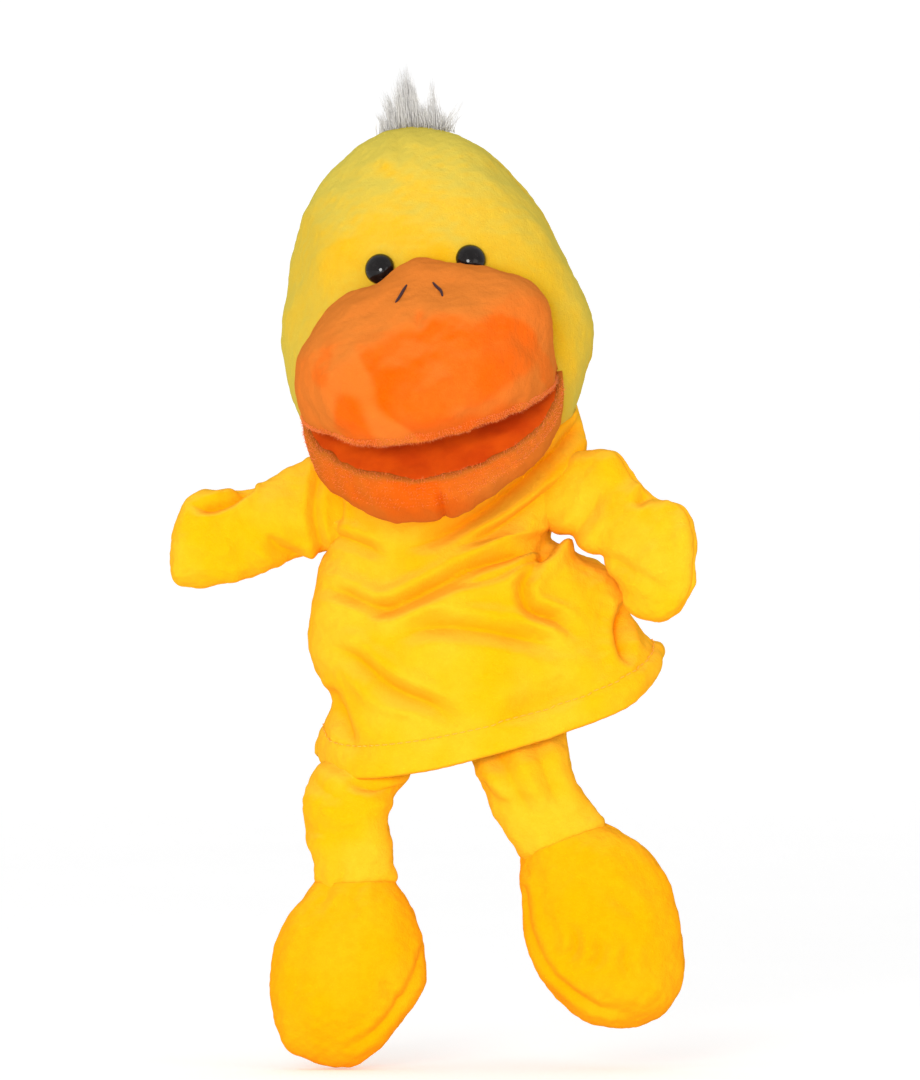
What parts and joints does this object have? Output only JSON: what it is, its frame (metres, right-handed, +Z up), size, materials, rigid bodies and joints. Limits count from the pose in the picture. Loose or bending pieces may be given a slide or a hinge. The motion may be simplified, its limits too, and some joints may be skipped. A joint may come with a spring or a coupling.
{
  "type": "moving mouth hand puppet",
  "caption": "Plush duckling hand puppet: a glove body with a hinged, padded bill, button eyes, limp arms and dangling stuffed feet.",
  "frame": {"origin": "middle of the bounding box, at the height of the toes", "axes": "+Z up from the toes to the tuft, -Y the way the face looks, +X the viewer's right"},
  "size_m": [0.2166, 0.1466, 0.4062],
  "materials": {
    "body_plush": "short brushed plush, golden yellow",
    "head_plush": "short brushed plush, lemon yellow",
    "foot_plush": "short brushed plush, deep yellow",
    "bill_plush": "short brushed plush, orange",
    "mouth_lining": "smooth knit, dark orange",
    "eye_plastic": "polished black",
    "washer_plastic": "moulded, off-white",
    "board": "flexible sheet, grey",
    "stuffing": "polyester fibre fill",
    "pocket_cloth": "woven tape and lining cloth",
    "thread": "embroidery thread, dark maroon",
    "tuft_fur": "long pile fur, grey-white"
  },
  "bodies": {
    "torso": {"torso_front_panel": "body_plush", "torso_back_panel": "body_plush", "hem_band": "body_plush"},
    "neck": {"neck_seam_tape": "pocket_cloth"},
    "head": {"head_front_panel": "head_plush", "head_back_panel": "head_plush", "head_stuffing": "stuffing", "hair_tuft": "tuft_fur", "tuft_backing": "pocket_cloth", "left_eye": "eye_plastic", "right_eye": "eye_plastic", "left_eye_washer": "washer_plastic", "right_eye_washer": "washer_plastic", "left_nostril_stitch": "thread", "right_nostril_stitch": "thread", "upper_bill_cover": "bill_plush", "upper_bill_stuffing": "stuffing", "upper_mouth_lining": "mouth_lining", "upper_mouth_board": "board", "finger_pocket": "pocket_cloth", "mouth_fold_tape": "mouth_lining"},
    "jaw": {"lower_bill_cover": "bill_plush", "lower_bill_stuffing": "stuffing", "lower_mouth_lining": "mouth_lining", "lower_mouth_board": "board", "thumb_pocket": "pocket_cloth"},
    "left_shoulder": {"left_armhole_tape": "pocket_cloth"},
    "left_arm": {"left_sleeve": "body_plush"},
    "left_hand": {"left_mitt": "body_plush", "left_mitt_stuffing": "stuffing"},
    "left_hip": {"left_leg_tab": "pocket_cloth"},
    "left_lower_leg": {"left_leg": "body_plush"},
    "left_foot": {"left_foot_top_panel": "foot_plush", "left_foot_sole_panel": "foot_plush", "left_foot_stuffing": "stuffing"},
    "right_shoulder": {"right_armhole_tape": "pocket_cloth"},
    "right_arm": {"right_sleeve": "body_plush"},
    "right_hand": {"right_mitt": "body_plush", "right_mitt_stuffing": "stuffing"},
    "right_hip": {"right_leg_tab": "pocket_cloth"},
    "right_lower_leg": {"right_leg": "body_plush"},
    "right_foot": {"right_foot_top_panel": "foot_plush", "right_foot_sole_panel": "foot_plush", "right_foot_stuffing": "stuffing"}
  },
  "joints": [
    {"name": "head_turn", "type": "hinge", "parent": "torso", "child": "neck", "pos_m": [0.00821, 0.02891, 0.25465], "axis": [-0.1305, 0, 0.9914], "range_deg": [-25, 25]},
    {"name": "head_nod", "type": "hinge", "parent": "neck", "child": "head", "pos_m": [0.00821, 0.02891, 0.25465], "axis": [-0.989, 0.0698, -0.1302], "range_deg": [-12, 12]},
    {"name": "jaw_open", "type": "hinge", "parent": "head", "child": "jaw", "pos_m": [0.00261, -0.00102, 0.28114], "axis": [0.989, -0.0698, 0.1302], "range_deg": [-17, 22]},
    {"name": "left_arm_swing", "type": "hinge", "parent": "torso", "child": "left_shoulder", "pos_m": [-0.04779, 0.02991, 0.23065], "axis": [0, 0, 1], "range_deg": [-20, 20]},
    {"name": "left_arm_raise", "type": "hinge", "parent": "left_shoulder", "child": "left_arm", "pos_m": [-0.04779, 0.02991, 0.23065], "axis": [0, 1, 0], "range_deg": [-20, 25]},
    {"name": "left_hand_fold", "type": "hinge", "parent": "left_arm", "child": "left_hand", "pos_m": [-0.07403, 0.02991, 0.21951], "axis": [0, 1, 0], "range_deg": [-35, 30]},
    {"name": "left_leg_splay", "type": "hinge", "parent": "torso", "child": "left_hip", "pos_m": [-0.02479, 0.01591, 0.11365], "axis": [0, 1, 0], "range_deg": [-8, 12]},
    {"name": "left_leg_swing", "type": "hinge", "parent": "left_hip", "child": "left_lower_leg", "pos_m": [-0.02479, 0.01591, 0.11365], "axis": [-0.9903, 0, 0.1392], "range_deg": [-25, 25]},
    {"name": "left_foot_flex", "type": "hinge", "parent": "left_lower_leg", "child": "left_foot", "pos_m": [-0.03064, 0.01591, 0.07206], "axis": [-0.9998, 0, 0.0175], "range_deg": [-35, 35]},
    {"name": "right_arm_swing", "type": "hinge", "parent": "torso", "child": "right_shoulder", "pos_m": [0.06421, 0.02091, 0.23265], "axis": [0, 0, -1], "range_deg": [-3, 25]},
    {"name": "right_arm_raise", "type": "hinge", "parent": "right_shoulder", "child": "right_arm", "pos_m": [0.06421, 0.02091, 0.23265], "axis": [-0.454, -0.891, 0], "range_deg": [-2, 25]},
    {"name": "right_hand_fold", "type": "hinge", "parent": "right_arm", "child": "right_hand", "pos_m": [0.0862, 0.0097, 0.2184], "axis": [-0.454, -0.891, 0], "range_deg": [-2, 50]},
    {"name": "right_leg_splay", "type": "hinge", "parent": "torso", "child": "right_hip", "pos_m": [0.03621, 0.01591, 0.13865], "axis": [0, -1, 0], "range_deg": [-12, 10]},
    {"name": "right_leg_swing", "type": "hinge", "parent": "right_hip", "child": "right_lower_leg", "pos_m": [0.03621, 0.01591, 0.13865], "axis": [-0.9336, 0, -0.3584], "range_deg": [-25, 25]},
    {"name": "right_foot_flex", "type": "hinge", "parent": "right_lower_leg", "child": "right_foot", "pos_m": [0.05126, 0.01591, 0.09944], "axis": [-0.9455, 0, -0.3256], "range_deg": [-35, 35]}
  ]
}
